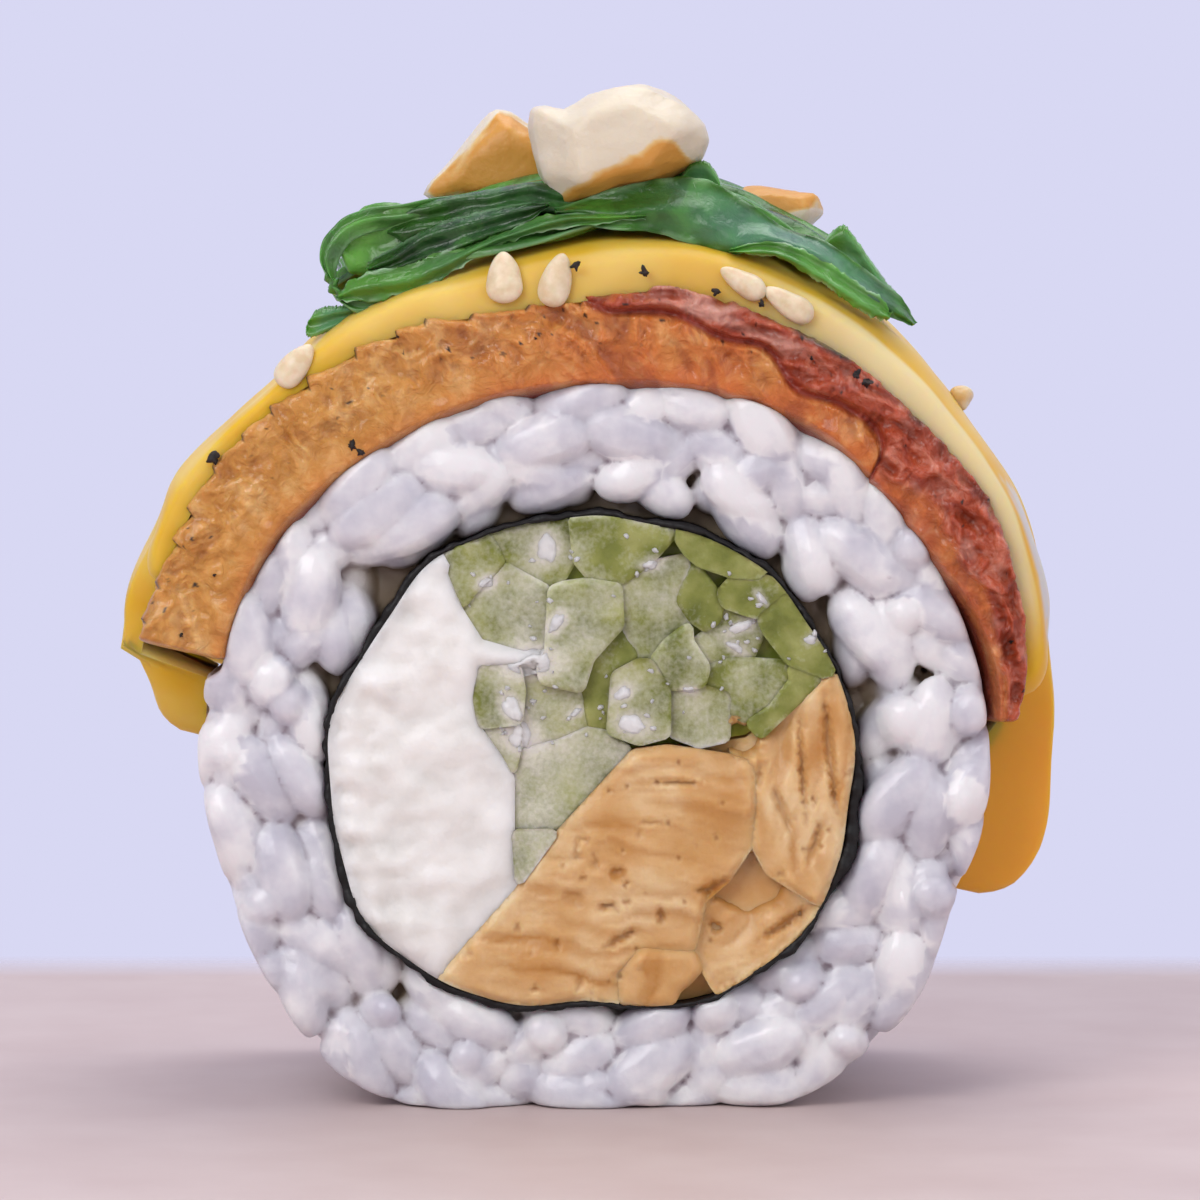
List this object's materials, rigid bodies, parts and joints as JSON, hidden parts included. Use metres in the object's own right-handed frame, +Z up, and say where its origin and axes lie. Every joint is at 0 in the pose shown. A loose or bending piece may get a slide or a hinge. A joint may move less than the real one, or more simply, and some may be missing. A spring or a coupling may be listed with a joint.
{
  "type": "eel mango sushi roll",
  "caption": "Upright piece of a filled sushi roll: rice and nori ring round cream cheese, cucumber and omelette, topped with eel, mango sauce, seaweed salad and nuts.",
  "frame": {"origin": "centre of the flat base that the rice ring stands on, halfway between the two cut faces", "axes": "the roll runs along Y, its front cut face towards -Y; Z is up through the toppings; X is across the cut face"},
  "size_m": [0.0564, 0.0294, 0.0616],
  "materials": {
    "rice": "moist, translucent cooked grain",
    "nori": "damp, slightly wrinkled sheet",
    "cream_cheese": "soft, smeared",
    "cucumber": "wet, translucent cut flesh",
    "omelette": "moist, layered and porous",
    "eel": "grilled, glazed, flaky",
    "mango_sauce": "thick, glossy",
    "seaweed": "wet, glossy ribbons",
    "nut": "toasted, broken faces"
  },
  "bodies": {
    "root": {"rice": "rice", "nori": "nori", "cream_cheese": "cream_cheese", "cucumber_stick_01": "cucumber", "cucumber_stick_02": "cucumber", "cucumber_stick_03": "cucumber", "cucumber_stick_04": "cucumber", "cucumber_stick_05": "cucumber", "cucumber_stick_06": "cucumber", "cucumber_stick_07": "cucumber", "cucumber_stick_08": "cucumber", "cucumber_stick_09": "cucumber", "cucumber_stick_10": "cucumber", "cucumber_stick_11": "cucumber", "cucumber_stick_12": "cucumber", "cucumber_stick_13": "cucumber", "cucumber_stick_14": "cucumber", "cucumber_stick_15": "cucumber", "cucumber_stick_16": "cucumber", "cucumber_stick_17": "cucumber", "cucumber_stick_18": "cucumber", "cucumber_stick_19": "cucumber", "cucumber_stick_20": "cucumber", "cucumber_stick_21": "cucumber", "cucumber_stick_22": "cucumber", "omelette_slab": "omelette", "omelette_edge": "omelette", "omelette_fold": "omelette", "omelette_tip": "omelette", "eel": "eel", "mango_sauce": "mango_sauce", "seaweed_salad": "seaweed", "nut_piece_1": "nut", "nut_piece_2": "nut", "nut_piece_3": "nut", "nut_piece_4": "nut"}
  },
  "joints": []
}
